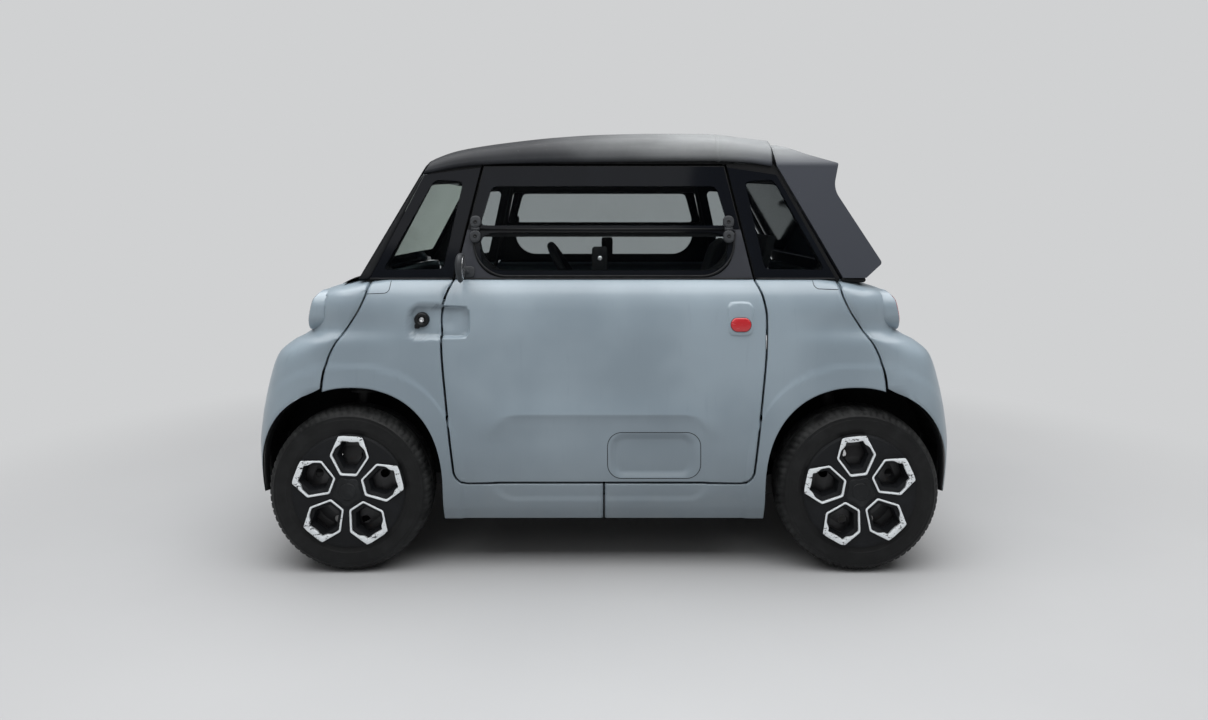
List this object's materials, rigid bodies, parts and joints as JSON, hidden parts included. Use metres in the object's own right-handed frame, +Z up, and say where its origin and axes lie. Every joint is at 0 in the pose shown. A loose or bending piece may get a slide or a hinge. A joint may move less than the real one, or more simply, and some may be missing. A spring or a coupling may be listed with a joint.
{
  "type": "two-seat electric microcar",
  "caption": "Small box-shaped electric city car with opening doors, steered front wheels and wheels that turn freely",
  "frame": {"origin": "on the ground under the middle of the car", "axes": "+X to the rear, +Y to the car's right, +Z up"},
  "size_m": [2.41, 1.49, 1.524],
  "materials": {
    "body": "satin blue-grey, mass-coloured",
    "roof_plastic": "grained charcoal",
    "glass": "clear with a black printed edge",
    "lamp_clear": "clear lens",
    "lamp_red": "tinted lens",
    "black_steel": "satin black",
    "wheel_steel": "black enamel",
    "tyre": "worn rubber",
    "trim_black": "grained",
    "motor_casing": "cast",
    "seat_fabric": "woven"
  },
  "bodies": {
    "root": {"front_end_panel": "body", "rear_end_panel": "body", "side_panel_front_left": "body", "side_panel_front_right": "body", "side_panel_rear_left": "body", "side_panel_rear_right": "body", "roof_panel": "roof_plastic", "rear_window_surround": "roof_plastic", "windscreen": "glass", "rear_window": "glass", "quarter_windows": "glass", "cabin_frame": "black_steel", "head_lamps": "lamp_clear", "tail_lamps": "lamp_red", "wheel_liners": "trim_black", "floor_pan": "trim_black", "chassis_rails": "black_steel", "battery_pack": "trim_black", "drive_motor": "motor_casing", "front_suspension_arms": "black_steel", "rear_axle": "black_steel", "dashboard": "trim_black", "steering_column": "trim_black", "seat_shells": "trim_black", "seat_pads": "seat_fabric"},
    "door_left": {"door_panel_left": "body", "door_frame_left": "trim_black", "door_windows_left": "glass", "door_fittings_left": "trim_black", "door_mirror_left": "trim_black"},
    "door_right": {"door_panel_right": "body", "door_frame_right": "trim_black", "door_windows_right": "glass", "door_fittings_right": "trim_black", "door_mirror_right": "trim_black"},
    "steering_wheel": {"steering_wheel": "trim_black"},
    "steering_rack": {"steering_rack": "black_steel"},
    "knuckle_left": {"knuckle_left": "black_steel"},
    "knuckle_right": {"knuckle_right": "black_steel"},
    "wheel_front_left": {"tyre_front_left": "tyre", "rim_front_left": "wheel_steel", "wheel_cover_front_left": "trim_black"},
    "wheel_front_right": {"tyre_front_right": "tyre", "rim_front_right": "wheel_steel", "wheel_cover_front_right": "trim_black"},
    "wheel_rear_left": {"tyre_rear_left": "tyre", "rim_rear_left": "wheel_steel", "wheel_cover_rear_left": "trim_black"},
    "wheel_rear_right": {"tyre_rear_right": "tyre", "rim_rear_right": "wheel_steel", "wheel_cover_rear_right": "trim_black"}
  },
  "joints": [
    {"name": "door_left_hinge", "type": "hinge", "parent": "root", "child": "door_left", "pos_m": [0.5515, -0.686, 0.6], "axis": [0, 0, 1], "range_deg": [0, 75]},
    {"name": "door_right_hinge", "type": "hinge", "parent": "root", "child": "door_right", "pos_m": [-0.5515, 0.686, 0.6], "axis": [0, 0, 1], "range_deg": [0, 75]},
    {"name": "steer_left", "type": "hinge", "parent": "root", "child": "knuckle_left", "pos_m": [-0.864, -0.56, 0.165], "axis": [0, 0.1659, 0.9861], "range_deg": [-30, 30]},
    {"name": "steer_right", "type": "hinge", "parent": "root", "child": "knuckle_right", "pos_m": [-0.864, 0.56, 0.165], "axis": [0, -0.1659, 0.9861], "range_deg": [-30, 30]},
    {"name": "steering_wheel_turn", "type": "hinge", "parent": "root", "child": "steering_wheel", "pos_m": [-0.118, -0.3, 0.951], "axis": [0.8601, 0, 0.5101], "range_deg": [-450, 450]},
    {"name": "rack_slide", "type": "slide", "parent": "root", "child": "steering_rack", "axis": [0, 1, 0], "range_m": [-0.051, 0.051]},
    {"name": "spin_front_left", "type": "hinge", "parent": "knuckle_left", "child": "wheel_front_left", "pos_m": [-0.864, -0.61, 0.2785], "axis": [0, 1, 0], "continuous": true},
    {"name": "spin_front_right", "type": "hinge", "parent": "knuckle_right", "child": "wheel_front_right", "pos_m": [-0.864, 0.61, 0.2785], "axis": [0, 1, 0], "continuous": true},
    {"name": "spin_rear_left", "type": "hinge", "parent": "root", "child": "wheel_rear_left", "pos_m": [0.864, -0.61, 0.2785], "axis": [0, 1, 0], "continuous": true},
    {"name": "spin_rear_right", "type": "hinge", "parent": "root", "child": "wheel_rear_right", "pos_m": [0.864, 0.61, 0.2785], "axis": [0, 1, 0], "continuous": true}
  ],
  "couplings": [
    {"joint": "steer_right", "follows": "steer_left", "ratio": 1},
    {"joint": "steering_wheel_turn", "follows": "steer_left", "ratio": 15},
    {"joint": "rack_slide", "follows": "steer_left", "m_per_rad": 0.0945}
  ]
}
